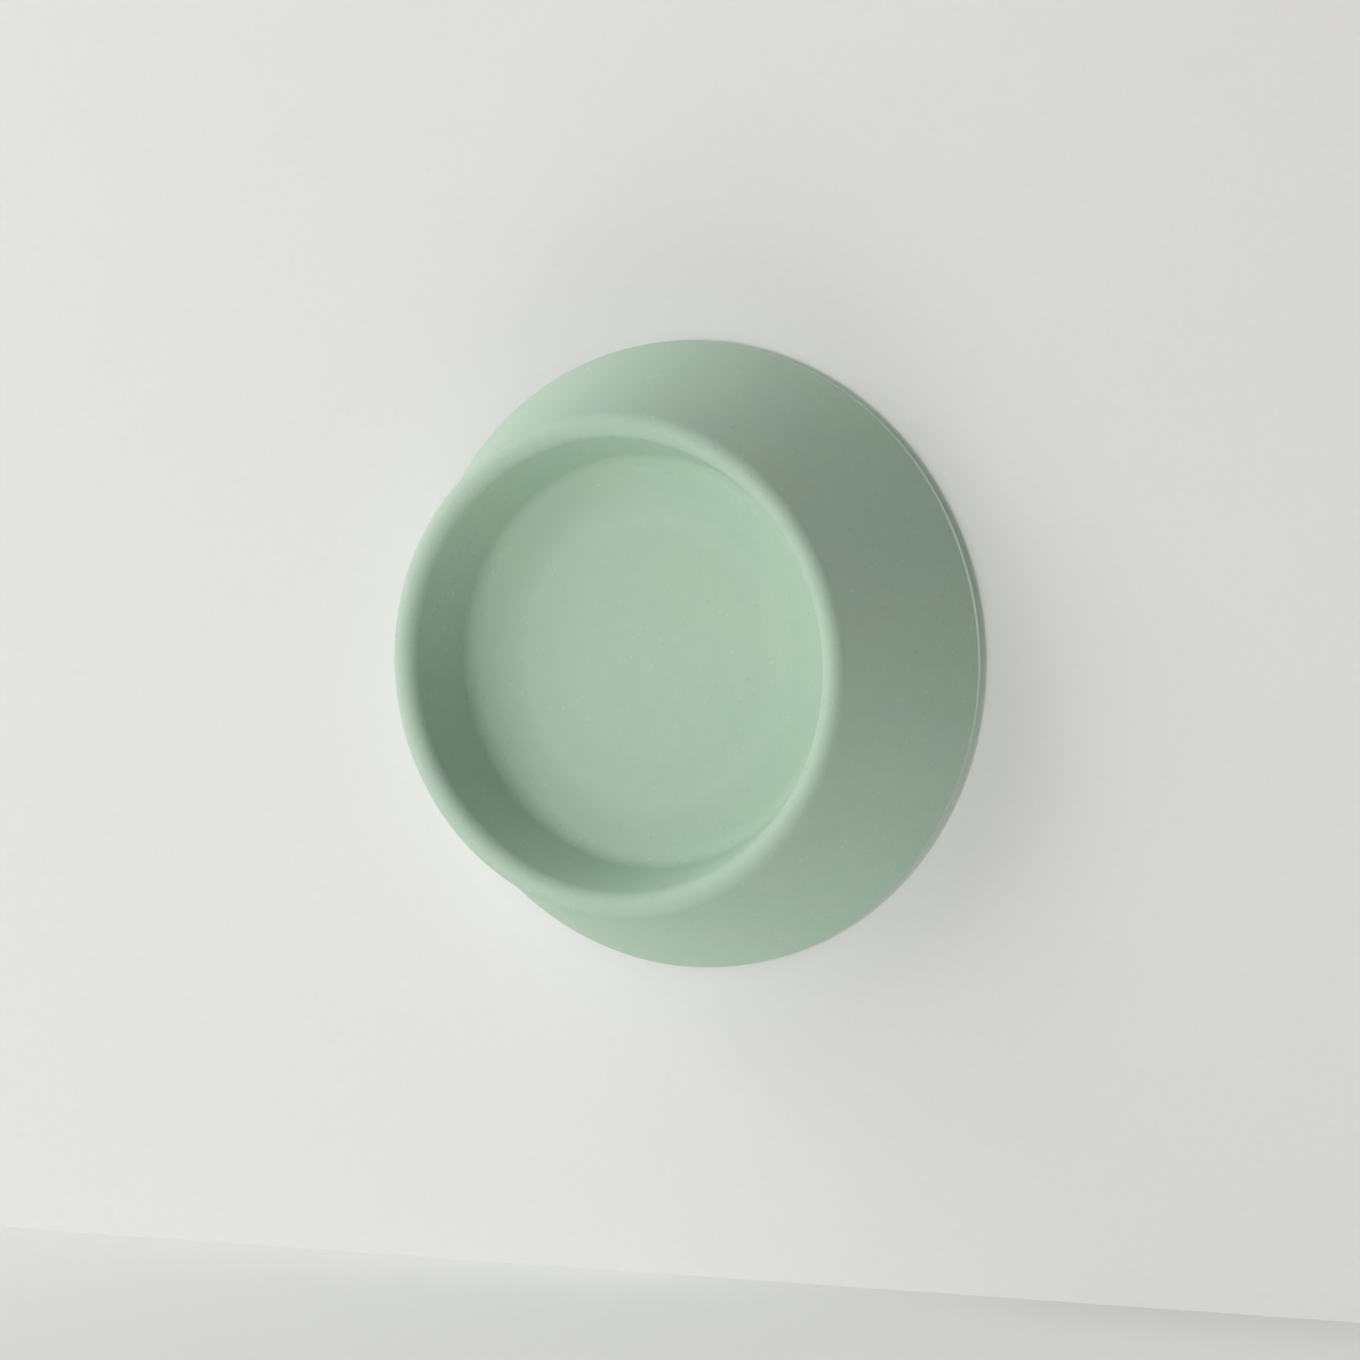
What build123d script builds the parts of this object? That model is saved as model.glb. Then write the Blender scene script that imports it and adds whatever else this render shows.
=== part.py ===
from build123d import *
import math
import os

os.makedirs("parts", exist_ok=True)

# Magnetic soap holder for a bathroom wall, in millimetres.
# The wall lies at Y = 0, the dish looks along -Y and +Z is up. The origin is the centre of the
# adhesive face that meets the wall.

# Depths that add up from the wall to the front of the lip
pad_thickness = 0.8
plate_thickness = 1.6
press_height = 0.6
magnet_thickness = 4.0
magnet_cover = 1.2
dish_depth = 6.8

# Dish body: lip and skirt
rim_radius = 20.0
lip_width = 2.2
skirt_spread = 5.0
skirt_wall = 2.0
flare_angle = 15.5
foot_gap = 0.4
foot_land = 0.7
foot_chamfer = 0.3

# Dish body: the dish inside the lip
dish_draft = 16.5
dish_corner = 1.6
dish_wall = 1.6

# Dish body: hollow back with its socket for the back plate
hollow_depth_share = 0.25
foot_wall = 2.2
socket_chamfer = 0.3
seat_width = 1.8

# Dish body: boss and ribs behind the floor
boss_wall = 1.4
boss_gap = 0.3
boss_chamfer = 0.4
rib_count = 6
rib_thickness = 1.2
rib_gap = 0.4
rib_bite = 0.5
crush_rib_count = 6
crush_rib_radius = 0.5
crush_rib_gap = 0.03

# Magnet
magnet_radius = 10.0
magnet_clearance = 0.2
magnet_chamfer = 0.3

# Back plate
plate_clearance = 0.2
plate_chamfer = 0.25
press_ring_inset = 2.0
press_ring_wall = 1.5
pad_rim_width = 0.8
pad_rim_height = 0.25

# Back plate: snap ring, cut into tabs
tab_count = 6
tab_length = 2.2
tab_wall = 1.1
tab_clearance = 0.15
tab_slot = 2.4
bead_height = 0.35
bead_width = 0.9
bead_clearance = 0.1

# Adhesive pad
pad_gap = 0.3

# One overrun serves every cut that has to pass through a face
overrun = 1.0

# Heights above the wall that follow from the depths
plate_front = pad_thickness + plate_thickness
boss_back = plate_front + boss_gap
magnet_back = plate_front + press_height
magnet_front = magnet_back + magnet_thickness
dish_floor = magnet_front + magnet_cover
lip_front = dish_floor + dish_depth
tab_front = plate_front + tab_length
bead_back = tab_front - bead_width

# Radii that follow, from the outside in
base_radius = rim_radius + skirt_spread
socket_radius = base_radius - foot_wall
plate_radius = socket_radius - plate_clearance
pad_radius = plate_radius - pad_rim_width - pad_gap
neck_radius = socket_radius - seat_width
tab_radius = neck_radius - tab_clearance
pocket_radius = magnet_radius + magnet_clearance
boss_radius = pocket_radius + boss_wall
press_ring_radius = magnet_radius - press_ring_inset

# Round profiles are drawn as radius and height above the wall, flat outlines as seen from the room
profile_plane = Plane(origin=(0, 0, 0), x_dir=(1, 0, 0), z_dir=(0, 0, -1))
wall_plane = Plane(origin=(0, 0, 0), x_dir=(1, 0, 0), z_dir=(0, -1, 0))


def radial_plane(angle):
    """The profile plane, turned about the holder's axis by an angle in degrees."""
    turn = math.radians(angle)
    return Plane(
        origin=(0, 0, 0),
        x_dir=(math.cos(turn), 0, math.sin(turn)),
        z_dir=(math.sin(turn), 0, -math.cos(turn)),
    )


def along(angle):
    """Unit direction in a profile towards the wall, leaning outwards by an angle in degrees."""
    return math.sin(math.radians(angle)), -math.cos(math.radians(angle))


def off_face(point, distance, angle):
    """The point that lies a distance outside a face that leans outwards by an angle in degrees."""
    radius, height = point
    return (
        radius + distance * math.cos(math.radians(angle)),
        height + distance * math.sin(math.radians(angle)),
    )


def corner_of(profile, radius, height):
    """The profile's corner that lies nearest to a radius and height."""
    return profile.vertices().sort_by_distance((radius, height))[0]


# The lip is a half round between the dish's inner wall and the skirt
lip_rounding = lip_width / 2
lip_centre = (rim_radius - lip_rounding, lip_front - lip_rounding)
lip_crest = (lip_centre[0], lip_front)
skirt_top = off_face(lip_centre, lip_rounding, flare_angle)
dish_wall_top = off_face(lip_centre, -lip_rounding, -dish_draft)

# The skirt is one arc that leaves the lip at the flare angle, leans out further towards the wall
# and ends in a short straight land
skirt_foot = (base_radius, foot_gap + foot_land)
chord_angle = math.degrees(math.atan2(skirt_foot[0] - skirt_top[0], skirt_top[1] - skirt_foot[1]))
foot_angle = 2 * chord_angle - flare_angle
inner_skirt_top = off_face(skirt_top, -skirt_wall, flare_angle)
inner_skirt_foot = off_face(skirt_foot, -skirt_wall, foot_angle)

# The dish's wall leans in from the lip to the floor, and its back keeps the same distance from it
draft_slope = math.tan(math.radians(dish_draft))
floor_corner = (dish_wall_top[0] - (dish_wall_top[1] - dish_floor) * draft_slope, dish_floor)
floor_back = dish_floor - dish_wall
back_wall_top = off_face(dish_wall_top, dish_wall, -dish_draft)
back_corner = (back_wall_top[0] - (back_wall_top[1] - floor_back) * draft_slope, floor_back)
hollow_top = dish_floor + hollow_depth_share * dish_depth

# The back corner is cut straight, just so far that the rounded corner in front of it keeps the wall
half_corner = math.radians(90 + dish_draft) / 2
back_cut = (dish_corner + dish_wall) * (1 / math.sin(half_corner) - 1) / math.cos(half_corner)

# Hollow behind the dish, as a profile: between the skirt, the back of the dish and the neck
with BuildSketch() as hollow:
    with BuildLine():
        TangentArc(inner_skirt_top, inner_skirt_foot, tangent=along(flare_angle))
        Polyline(
            inner_skirt_foot,
            (0, inner_skirt_foot[1]),
            (0, inner_skirt_top[1]),
            inner_skirt_top,
        )
    make_face()
    with BuildLine():
        Polyline(
            (0, floor_back),
            back_corner,
            back_wall_top,
            (back_wall_top[0], lip_front),
            (0, lip_front),
            close=True,
        )
    make_face(mode=Mode.SUBTRACT)
    chamfer(corner_of(hollow, *back_corner), back_cut)
    with Locations((0, hollow_top)):
        Rectangle(base_radius, lip_front, align=(Align.MIN, Align.MIN), mode=Mode.SUBTRACT)
    with Locations((neck_radius, inner_skirt_foot[1])):
        Rectangle(base_radius, lip_front, align=(Align.MIN, Align.MIN), mode=Mode.SUBTRACT)

# Dish body
with BuildPart() as dish_body:
    # Dish, rolled lip and skirt in one turn
    with BuildSketch(profile_plane) as outline:
        with BuildLine():
            Line((0, dish_floor), floor_corner)
            Line(floor_corner, dish_wall_top)
            ThreePointArc(dish_wall_top, lip_crest, skirt_top)
            TangentArc(skirt_top, skirt_foot, tangent=along(flare_angle))
            Polyline(skirt_foot, (base_radius, foot_gap), (0, foot_gap), (0, dish_floor))
        make_face()
        fillet(corner_of(outline, *floor_corner), dish_corner)
        chamfer(corner_of(outline, base_radius, foot_gap), foot_chamfer)
    revolve(axis=Axis.Y)

    with BuildSketch(profile_plane):
        add(hollow.sketch)
    revolve(axis=Axis.Y, mode=Mode.SUBTRACT)

    # Socket for the back plate, with a lead-in, and the groove that its bead snaps into
    with BuildSketch(profile_plane):
        with BuildLine():
            Polyline(
                (0, 0),
                (socket_radius + socket_chamfer, 0),
                (socket_radius + socket_chamfer, foot_gap),
                (socket_radius, foot_gap + socket_chamfer),
                (socket_radius, plate_front),
                (0, plate_front),
                close=True,
            )
        make_face()
        with Locations((neck_radius - tab_wall, bead_back - bead_clearance)):
            Rectangle(
                tab_wall + bead_height,
                bead_width + 2 * bead_clearance,
                align=(Align.MIN, Align.MIN),
            )
    revolve(axis=Axis.Y, mode=Mode.SUBTRACT)

    # Boss round the magnet
    with BuildSketch(wall_plane.offset(boss_back)):
        Circle(boss_radius)
    extrude(amount=floor_back + rib_bite - boss_back)

    # Ribs from the boss to the skirt, clear of the snap ring: the hollow's profile, let into its walls
    for rib in range(rib_count):
        with BuildSketch(radial_plane(360 * rib / rib_count)):
            add(hollow.sketch)
            offset(amount=rib_bite)
            Rectangle(2 * (boss_radius - rib_bite), 2 * lip_front, mode=Mode.SUBTRACT)
            Rectangle(2 * base_radius, 2 * (tab_front + rib_gap), mode=Mode.SUBTRACT)
        extrude(amount=rib_thickness / 2, both=True)

    # Pocket for the magnet, with a chamfered mouth; the floor in front of it is thinner than elsewhere
    with BuildSketch(profile_plane):
        with BuildLine():
            Polyline(
                (0, boss_back),
                (pocket_radius + boss_chamfer, boss_back),
                (pocket_radius, boss_back + boss_chamfer),
                (pocket_radius, magnet_front),
                (0, magnet_front),
                close=True,
            )
        make_face()
    revolve(axis=Axis.Y, mode=Mode.SUBTRACT)

    # Crush ribs that centre the magnet
    with BuildSketch(wall_plane.offset(magnet_back)):
        with PolarLocations(magnet_radius + crush_rib_gap + crush_rib_radius, crush_rib_count):
            Circle(crush_rib_radius)
    extrude(amount=magnet_thickness)

dish_body.part.label = "dish_body"
export_step(dish_body.part, "parts/dish_body.step")

# Magnet: a plated disc straight behind the floor of the dish
with BuildPart() as magnet:
    with BuildSketch(wall_plane.offset(magnet_back)):
        Circle(magnet_radius)
    extrude(amount=magnet_thickness)
    chamfer(magnet.edges().filter_by(GeomType.CIRCLE), magnet_chamfer)

magnet.part.label = "magnet"
export_step(magnet.part, "parts/magnet.step")

# Back plate: closes the socket, holds the magnet forward and carries the pad
with BuildPart() as back_plate:
    with BuildSketch(wall_plane.offset(pad_thickness)):
        Circle(plate_radius)
    extrude(amount=plate_thickness)
    chamfer(back_plate.edges().filter_by(GeomType.CIRCLE), plate_chamfer)

    # Low rim round the pad
    with BuildSketch(wall_plane.offset(pad_thickness)):
        Circle(plate_radius - plate_chamfer)
        Circle(pad_radius + pad_gap, mode=Mode.SUBTRACT)
    extrude(amount=-pad_rim_height)

    # Ring that presses on the back of the magnet
    with BuildSketch(wall_plane.offset(plate_front)):
        Circle(press_ring_radius)
        Circle(press_ring_radius - press_ring_wall, mode=Mode.SUBTRACT)
    extrude(amount=press_height)

    # Snap ring with its bead, drawn as one profile
    with BuildSketch(profile_plane):
        with BuildLine():
            Polyline(
                (tab_radius - tab_wall, plate_front),
                (tab_radius, plate_front),
                (tab_radius, bead_back),
                (tab_radius + bead_height, bead_back + bead_width / 2),
                (tab_radius, tab_front),
                (tab_radius - tab_wall, tab_front),
                close=True,
            )
        make_face()
    revolve(axis=Axis.Y)

    # Slots that let the tabs bend
    with BuildSketch(wall_plane.offset(plate_front)):
        with PolarLocations(tab_radius, tab_count):
            Rectangle(2 * (tab_wall + overrun), tab_slot)
    extrude(amount=tab_length + overrun, mode=Mode.SUBTRACT)

back_plate.part.label = "back_plate"
export_step(back_plate.part, "parts/back_plate.step")

# Adhesive pad: foam disc whose back face sticks to the wall
with BuildPart() as adhesive_pad:
    with BuildSketch(wall_plane):
        Circle(pad_radius)
    extrude(amount=pad_thickness)

adhesive_pad.part.label = "adhesive_pad"
export_step(adhesive_pad.part, "parts/adhesive_pad.step")
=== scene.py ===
import math

import bpy
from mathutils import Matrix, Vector


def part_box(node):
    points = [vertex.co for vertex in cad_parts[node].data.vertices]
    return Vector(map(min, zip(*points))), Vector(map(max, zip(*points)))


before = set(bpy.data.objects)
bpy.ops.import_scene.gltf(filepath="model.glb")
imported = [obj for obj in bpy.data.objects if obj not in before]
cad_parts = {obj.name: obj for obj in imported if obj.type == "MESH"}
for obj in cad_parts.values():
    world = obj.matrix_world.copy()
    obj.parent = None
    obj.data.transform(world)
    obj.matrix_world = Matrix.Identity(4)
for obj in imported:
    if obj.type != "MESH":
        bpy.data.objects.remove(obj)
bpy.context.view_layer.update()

MM = 0.001

# Camera, fitted to the photograph's 1360 pixel frame
IMAGE_PIXELS = 1360
FOCAL_PIXELS = 9200
SENSOR = 36.0
CAMERA_AZIMUTH = math.radians(27.3)
CAMERA_ELEVATION = math.radians(4.2)
CAMERA_DISTANCE = 720 * MM
CAMERA_CLIP = (0.01, 20)
# Where the centre of the lip's front lies in the photograph, from the left and from the top
LIP_CENTRE_PIXELS = (613.5, 666.0)

# Wall behind the holder and floor below it
FLOOR_DROP = 50 * MM
STAGE_HALF = 1.2
WALL_GAP = 0.05 * MM
WALL_COLOUR = (0.78, 0.775, 0.76)
FLOOR_COLOUR = (0.82, 0.82, 0.81)

# Square lamps that face the holder: name, direction from it, side and watts. Four stand to its
# left, from near its height to high above, then a small one in front, one below and one behind
LAMP_DISTANCE = 0.9
LAMPS = [
    ("left_front", (-0.75, -0.75, 0.15), 0.50, 1.42),
    ("left_front_up", (-0.50, -0.75, 0.50), 0.50, 1.20),
    ("up_left", (-0.55, -0.30, 0.80), 0.50, 1.66),
    ("graze_up", (-0.87, -0.12, 0.50), 0.30, 1.66),
    ("front", (-0.15, -1.0, 0.0), 0.15, 2.06),
    ("below", (0.0, -0.60, -0.80), 0.50, 1.18),
    ("back", (0.35, 0.90, 0.12), 0.50, 3.8),
]

# World: its colour, and its strength as a light, against 1 where it is seen
WHITE = (1.0, 1.0, 1.0, 1.0)
AMBIENT = 0.045

# Nylon: its tones, and in millimetres the floor's rings of painted shade and highlight and the
# mould's marks
NYLON_TONES = [
    (0.30, (0.417, 0.567, 0.461)),
    (0.50, (0.428, 0.571, 0.452)),
    (0.70, (0.438, 0.575, 0.444)),
]
NYLON_DEEP = (0.33, 0.45, 0.35, 1.0)
NYLON_PALE = (0.62, 0.77, 0.65, 1.0)
BASE_RADIUS = 25.0
# A sunk ring painted darker and a raised ring painted paler: painted shade and painted highlight
SUNK_RING_SHADE = [(7.5, 0.0), (9.25, 0.05), (10.25, 0.0)]
RAISED_RING_HIGHLIGHT = [(10.25, 0.0), (11.25, 0.06), (12.5, 0.0)]
GATE_CENTRE = (-0.6, -1.0)
GATE_SIZES = (0.7, 2.8)
ROUGH_EDGE_CENTRE = (0.0, 1.2)
ROUGH_EDGE = [(14.5, 0.0), (15.5, 1.0), (16.75, 1.0), (17.25, 0.0)]


def node(tree, kind, **settings):
    """A new shader node with its settings and, by name or number, the values of its inputs."""
    made = tree.nodes.new(kind)
    for key, value in settings.items():
        if key == "inputs":
            for socket, content in value.items():
                made.inputs[socket].default_value = content
        else:
            setattr(made, key, value)
    return made


def link(tree, source, output, target, socket):
    tree.links.new(source.outputs[output], target.inputs[socket])


def math_node(tree, operation, *sources):
    """A maths node over (node, output) pairs."""
    made = node(tree, "ShaderNodeMath", operation=operation)
    for place, (source, output) in enumerate(sources):
        link(tree, source, output, made, place)
    return made


def new_material(name):
    """An empty node material, its tree, its shader and its coordinates in millimetres."""
    material = bpy.data.materials.new(name)
    material.use_nodes = True
    tree = material.node_tree
    tree.nodes.clear()
    output = node(tree, "ShaderNodeOutputMaterial")
    shader = node(tree, "ShaderNodeBsdfPrincipled")
    link(tree, shader, "BSDF", output, "Surface")
    place = node(tree, "ShaderNodeTexCoord")
    millimetres = node(tree, "ShaderNodeVectorMath", operation="SCALE", inputs={"Scale": 1 / MM})
    link(tree, place, "Object", millimetres, 0)
    return material, tree, shader, millimetres


def noise(tree, coordinates, scale, detail=2.0, roughness=0.5):
    made = node(
        tree,
        "ShaderNodeTexNoise",
        inputs={"Scale": scale, "Detail": detail, "Roughness": roughness},
    )
    link(tree, coordinates, 0, made, "Vector")
    return made


def ramp(tree, source, output, stops):
    """A colour ramp over a value, from a list of (position, colour)."""
    made = node(tree, "ShaderNodeValToRGB")
    elements = made.color_ramp.elements
    while len(elements) < len(stops):
        elements.new(1.0)
    for element, (position, colour) in zip(elements, stops):
        element.position = position
        element.color = (*colour, 1.0)
    link(tree, source, output, made, "Fac")
    return made


def grey_ramp(tree, source, output, stops):
    """A ramp over a value, from a list of (position, grey level)."""
    return ramp(tree, source, output, [(position, (level,) * 3) for position, level in stops])


def bump(tree, source, output, distance, strength, below=None):
    """A bump of a height in metres, laid over another bump where one is given."""
    made = node(tree, "ShaderNodeBump", inputs={"Strength": strength, "Distance": distance})
    link(tree, source, output, made, "Height")
    if below is not None:
        link(tree, below, "Normal", made, "Normal")
    return made


def spread(tree, source, output, low, high, shader):
    """The shader's roughness, between two values as a texture goes from 0 to 1."""
    made = node(tree, "ShaderNodeMapRange", inputs={"To Min": low, "To Max": high})
    link(tree, source, output, made, "Value")
    link(tree, made, "Result", shader, "Roughness")


def mix_colour(tree, factor, first, second, blend="MIX"):
    """A colour mix; factor, first and second are plain values or (node, output) pairs."""
    made = node(tree, "ShaderNodeMix", data_type="RGBA", blend_type=blend)
    for socket, value in ((0, factor), (6, first), (7, second)):
        if isinstance(value, tuple) and isinstance(value[0], bpy.types.Node):
            link(tree, value[0], value[1], made, socket)
        else:
            made.inputs[socket].default_value = value
    return made


def distance_from(tree, place, centre, sizes):
    """How far a point lies from a centre in X and Z, in millimetres, as a share of two sizes."""
    shifted = node(
        tree,
        "ShaderNodeVectorMath",
        operation="SUBTRACT",
        inputs={1: (centre[0], 0.0, centre[1])},
    )
    link(tree, place, 0, shifted, 0)
    scaled = node(
        tree,
        "ShaderNodeVectorMath",
        operation="MULTIPLY",
        inputs={1: (1 / sizes[0], 0.0, 1 / sizes[1])},
    )
    link(tree, shifted, 0, scaled, 0)
    length = node(tree, "ShaderNodeVectorMath", operation="LENGTH")
    link(tree, scaled, 0, length, 0)
    return length


def ring(tree, place, centre, stops):
    """Grey levels round a centre in X and Z, from a list of (radius in millimetres, grey level)."""
    radius = distance_from(tree, place, centre, (BASE_RADIUS, BASE_RADIUS))
    shares = [(distance / BASE_RADIUS, level) for distance, level in stops]
    return grey_ramp(tree, radius, "Value", shares)


def nylon():
    """Matte moulded nylon: cloudy, with pimples, a grain, the mould's marks and specks and rings of
    painted shade and highlight.
    """
    material, tree, shader, place = new_material("mint_nylon")
    clouds = noise(tree, place, scale=0.13, detail=3.0, roughness=0.55)
    base = ramp(tree, clouds, "Fac", NYLON_TONES)
    blotches = noise(tree, place, scale=0.75, detail=4.0, roughness=0.6)
    shade = grey_ramp(tree, blotches, "Fac", [(0.25, 0.960), (0.75, 1.0)])
    mottled = mix_colour(tree, 1.0, (base, "Color"), (shade, "Color"), blend="MULTIPLY")

    # Marks in the dish's floor: rings of painted shade and highlight over the boss's edge, a gate
    # streak
    # Painted shade on the sunk ring and a painted highlight on the raised ring outside it
    sunk_ring_shade = ring(tree, place, (0.0, 0.0), SUNK_RING_SHADE)
    raised_ring_highlight = ring(tree, place, (0.0, 0.0), RAISED_RING_HIGHLIGHT)
    streak = distance_from(tree, place, GATE_CENTRE, GATE_SIZES)
    gate = grey_ramp(tree, streak, "Value", [(0.3, 0.08), (1.0, 0.0)])
    # Dark and pale specks: painted shade and painted highlight of small bumps on the surface
    specks = noise(tree, place, scale=2.8, detail=1.0)
    dark = grey_ramp(tree, specks, "Fac", [(0.24, 0.55), (0.31, 0.0)])
    light = grey_ramp(tree, specks, "Fac", [(0.69, 0.0), (0.77, 0.35)])
    marked = mottled
    for mask, tone in (
        (sunk_ring_shade, NYLON_DEEP),
        (raised_ring_highlight, NYLON_PALE),
        (gate, NYLON_PALE),
        (dark, NYLON_DEEP),
        (light, NYLON_PALE),
    ):
        marked = mix_colour(tree, (mask, "Color"), (marked, 2), tone)
    link(tree, marked, 2, shader, "Base Color")
    spread(tree, blotches, "Fac", 0.60, 0.74, shader)

    # Relief: the mould's grain, slow waves, pimples and a rougher band along the floor's lower edge
    grain = noise(tree, place, scale=5.5, detail=3.0, roughness=0.6)
    waves = noise(tree, place, scale=0.55)
    pimples = noise(tree, place, scale=2.1, detail=1.0)
    heads = grey_ramp(tree, pimples, "Fac", [(0.69, 0.0), (0.78, 1.0)])
    edge = ring(tree, place, ROUGH_EDGE_CENTRE, ROUGH_EDGE)
    strokes = noise(tree, place, scale=3.0)
    coarse = math_node(tree, "MULTIPLY", (strokes, "Fac"), (edge, "Color"))
    fine = bump(tree, grain, "Fac", distance=0.012 * MM, strength=0.55)
    slow = bump(tree, waves, "Fac", distance=0.05 * MM, strength=0.5, below=fine)
    dotted = bump(tree, heads, "Color", distance=0.03 * MM, strength=0.5, below=slow)
    rubbed = bump(tree, coarse, "Value", distance=0.06 * MM, strength=0.5, below=dotted)
    link(tree, rubbed, "Normal", shader, "Normal")
    shader.inputs["IOR"].default_value = 1.48
    return material


def nickel():
    """Satin nickel plating with fine turned marks and a little unevenness."""
    material, tree, shader, place = new_material("magnet_plating")
    shader.inputs["Metallic"].default_value = 1.0
    stains = noise(tree, place, scale=0.5, detail=4.0)
    tint = ramp(tree, stains, "Fac", [(0.3, (0.60, 0.59, 0.56)), (0.7, (0.68, 0.67, 0.64))])
    link(tree, tint, "Color", shader, "Base Color")
    marks = node(
        tree,
        "ShaderNodeTexWave",
        wave_type="RINGS",
        rings_direction="Y",
        inputs={"Scale": 3.0, "Distortion": 0.6, "Detail": 2.0},
    )
    link(tree, place, 0, marks, "Vector")
    spread(tree, marks, "Fac", 0.22, 0.38, shader)
    turned = bump(tree, marks, "Fac", distance=0.004 * MM, strength=0.4)
    link(tree, turned, "Normal", shader, "Normal")
    return material


def foam():
    """Closed-cell foam of the adhesive pad: pale, with fine cells."""
    material, tree, shader, place = new_material("pad_foam")
    cells = node(
        tree, "ShaderNodeTexVoronoi", feature="DISTANCE_TO_EDGE", inputs={"Scale": 4.5}
    )
    link(tree, place, 0, cells, "Vector")
    # The tint is darker along the cells' edges, where the bump sinks: painted shade in the grooves
    # between cells
    tint = ramp(
        tree, cells, "Distance", [(0.0, (0.66, 0.66, 0.63)), (0.35, (0.76, 0.76, 0.73))]
    )
    clouds = noise(tree, place, scale=0.3, detail=3.0)
    shade = grey_ramp(tree, clouds, "Fac", [(0.3, 0.94), (0.7, 1.0)])
    uneven = mix_colour(tree, 1.0, (tint, "Color"), (shade, "Color"), blend="MULTIPLY")
    link(tree, uneven, 2, shader, "Base Color")
    shader.inputs["Roughness"].default_value = 0.8
    pits = bump(tree, cells, "Distance", distance=0.06 * MM, strength=0.5)
    link(tree, pits, "Normal", shader, "Normal")
    return material


def stage_material(name, colour):
    """Plain pale surface that is seen from its front only and lets light through from behind."""
    material, tree, shader, place = new_material(name)
    tooth = noise(tree, place, scale=1.6, detail=5.0, roughness=0.6)
    low = tuple(0.985 * c for c in colour)
    tint = ramp(tree, tooth, "Fac", [(0.35, low), (0.65, colour)])
    link(tree, tint, "Color", shader, "Base Color")
    shader.inputs["Roughness"].default_value = 0.9
    shader.inputs["Specular IOR Level"].default_value = 0.2
    relief = bump(tree, tooth, "Fac", distance=0.03 * MM, strength=0.35)
    link(tree, relief, "Normal", shader, "Normal")
    clear = node(tree, "ShaderNodeBsdfTransparent")
    side = node(tree, "ShaderNodeNewGeometry")
    choose = node(tree, "ShaderNodeMixShader")
    link(tree, side, "Backfacing", choose, "Fac")
    link(tree, shader, "BSDF", choose, 1)
    link(tree, clear, "BSDF", choose, 2)
    output = next(n for n in tree.nodes if n.type == "OUTPUT_MATERIAL")
    link(tree, choose, "Shader", output, "Surface")
    return material


def plane(name, corners, material):
    """A flat stage surface from its corners, front side by the right-hand rule.

    It casts no shadow, so the lamps behind and below it light the holder through it.
    """
    mesh = bpy.data.meshes.new(name)
    mesh.from_pydata(corners, [], [range(len(corners))])
    mesh.materials.append(material)
    made = bpy.data.objects.new(name, mesh)
    made.visible_shadow = False
    bpy.context.scene.collection.objects.link(made)


def lamp(name, direction, size, watts):
    """A soft square lamp that faces the holder from a direction."""
    data = bpy.data.lights.new(name, "AREA")
    data.shape = "SQUARE"
    data.size = size
    data.energy = watts
    made = bpy.data.objects.new(name, data)
    made.location = Vector(direction).normalized() * LAMP_DISTANCE
    made.rotation_mode = "QUATERNION"
    made.rotation_quaternion = (-made.location).to_track_quat("-Z", "Y")
    bpy.context.scene.collection.objects.link(made)


# Camera: it stands off from the lip's centre and aims where that centre lands on its pixel
lip_centre = Vector((0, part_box("dish_body")[0].y, 0))
backwards = Vector(
    (
        math.sin(CAMERA_AZIMUTH) * math.cos(CAMERA_ELEVATION),
        -math.cos(CAMERA_AZIMUTH) * math.cos(CAMERA_ELEVATION),
        math.sin(CAMERA_ELEVATION),
    )
)
rightwards = Vector((math.cos(CAMERA_AZIMUTH), math.sin(CAMERA_AZIMUTH), 0))
upwards = backwards.cross(rightwards)
pixel = CAMERA_DISTANCE / FOCAL_PIXELS
aim = (
    lip_centre
    + rightwards * (IMAGE_PIXELS / 2 - LIP_CENTRE_PIXELS[0]) * pixel
    - upwards * (IMAGE_PIXELS / 2 - LIP_CENTRE_PIXELS[1]) * pixel
)
camera_data = bpy.data.cameras.new("camera")
camera_data.sensor_width = SENSOR
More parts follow.
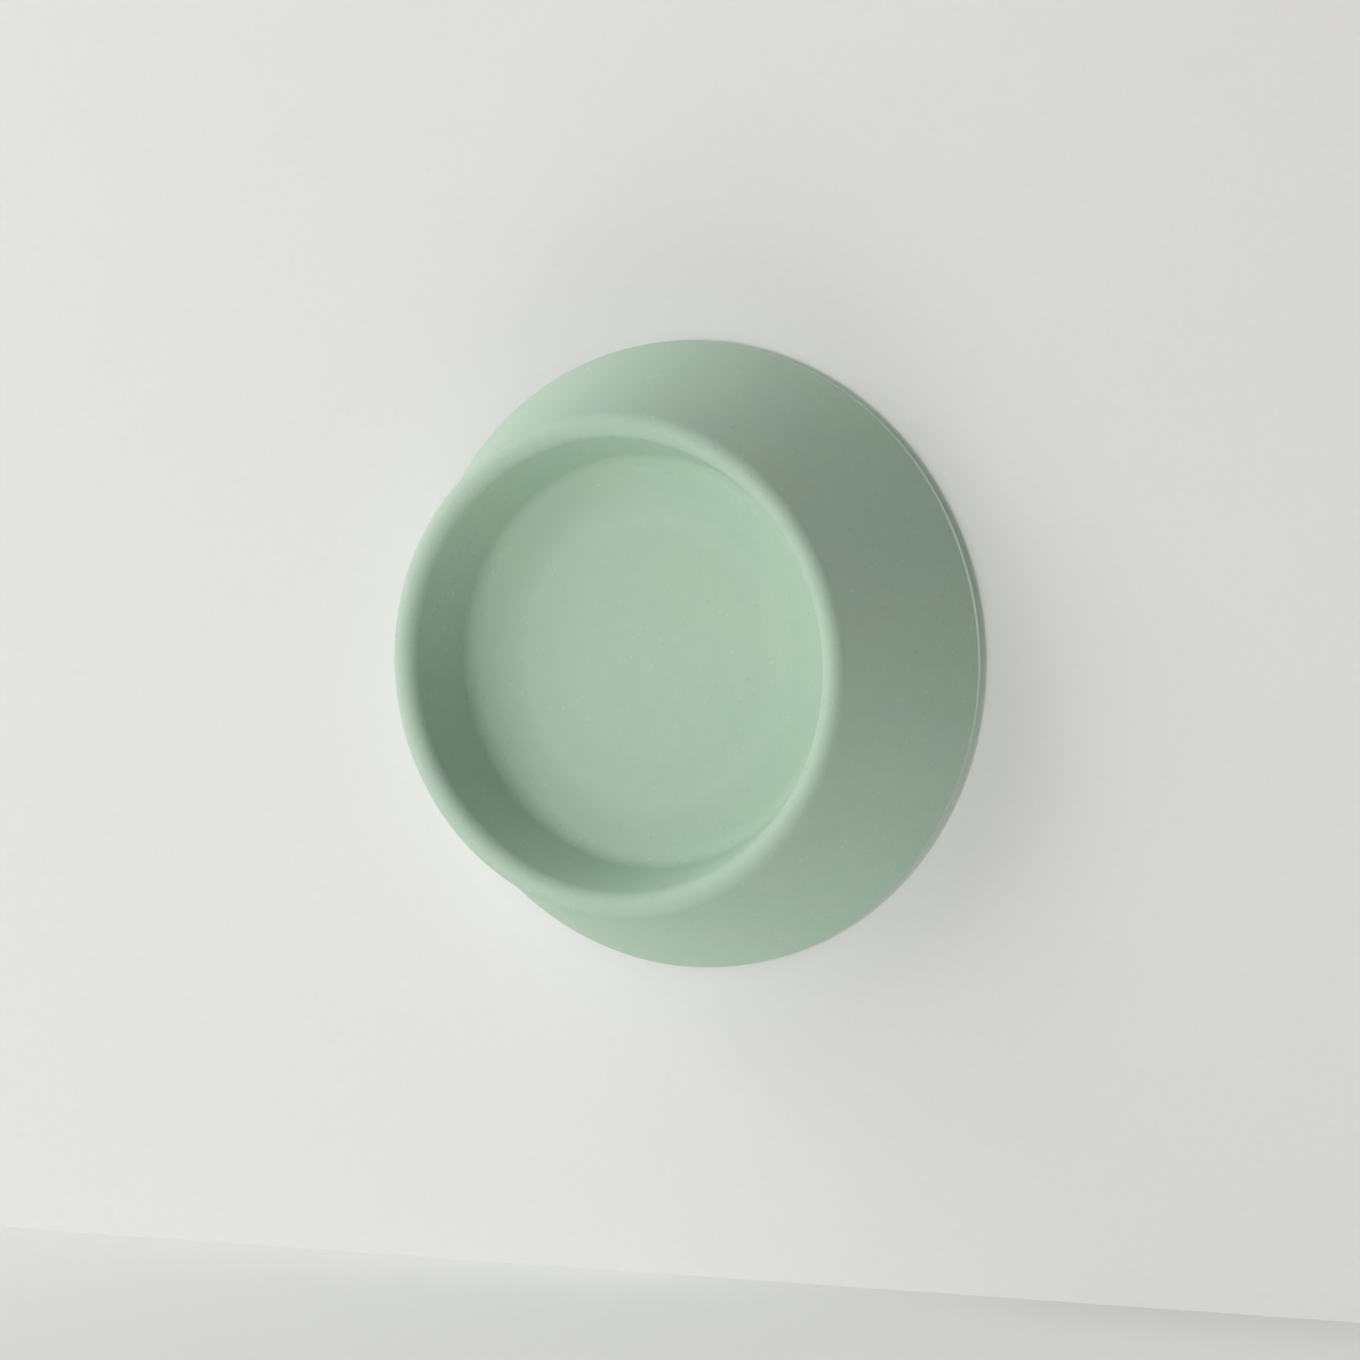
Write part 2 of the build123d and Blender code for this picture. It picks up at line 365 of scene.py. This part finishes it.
camera_data.lens = SENSOR * FOCAL_PIXELS / IMAGE_PIXELS
camera_data.clip_start, camera_data.clip_end = CAMERA_CLIP
camera = bpy.data.objects.new("camera", camera_data)
camera.location = lip_centre + backwards * CAMERA_DISTANCE
camera.rotation_mode = "QUATERNION"
camera.rotation_quaternion = (aim - camera.location).to_track_quat("-Z", "Y")
bpy.context.scene.collection.objects.link(camera)
bpy.context.scene.camera = camera

# Materials of the four CAD nodes
plastic = nylon()
materials = {
    "dish_body": plastic,
    "back_plate": plastic,
    "magnet": nickel(),
    "adhesive_pad": foam(),
}
for name, material in materials.items():
    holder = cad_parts[name]
    holder.data.materials.clear()
    holder.data.materials.append(material)

# Wall and floor
plane(
    "wall",
    [
        (-STAGE_HALF, WALL_GAP, -FLOOR_DROP),
        (STAGE_HALF, WALL_GAP, -FLOOR_DROP),
        (STAGE_HALF, WALL_GAP, STAGE_HALF),
        (-STAGE_HALF, WALL_GAP, STAGE_HALF),
    ],
    stage_material("wall_paint", WALL_COLOUR),
)
plane(
    "floor",
    [
        (-STAGE_HALF, -STAGE_HALF, -FLOOR_DROP),
        (STAGE_HALF, -STAGE_HALF, -FLOOR_DROP),
        (STAGE_HALF, WALL_GAP, -FLOOR_DROP),
        (-STAGE_HALF, WALL_GAP, -FLOOR_DROP),
    ],
    stage_material("floor_paint", FLOOR_COLOUR),
)

# Light: the lamps, and a world that is white where it is seen but lights the holder only faintly
for name, direction, size, watts in LAMPS:
    lamp(name, direction, size, watts)
world = bpy.data.worlds.new("world")
world.use_nodes = True
bpy.context.scene.world = world
sky = world.node_tree
background = sky.nodes["Background"]
background.inputs["Color"].default_value = WHITE
paths = node(sky, "ShaderNodeLightPath")
seen = math_node(sky, "MAXIMUM", (paths, "Is Camera Ray"), (paths, "Is Glossy Ray"))
strength = node(sky, "ShaderNodeMapRange", inputs={"To Min": AMBIENT, "To Max": 1.0})
link(sky, seen, "Value", strength, "Value")
link(sky, strength, "Result", background, "Strength")

bpy.context.scene.view_settings.view_transform = "Standard"
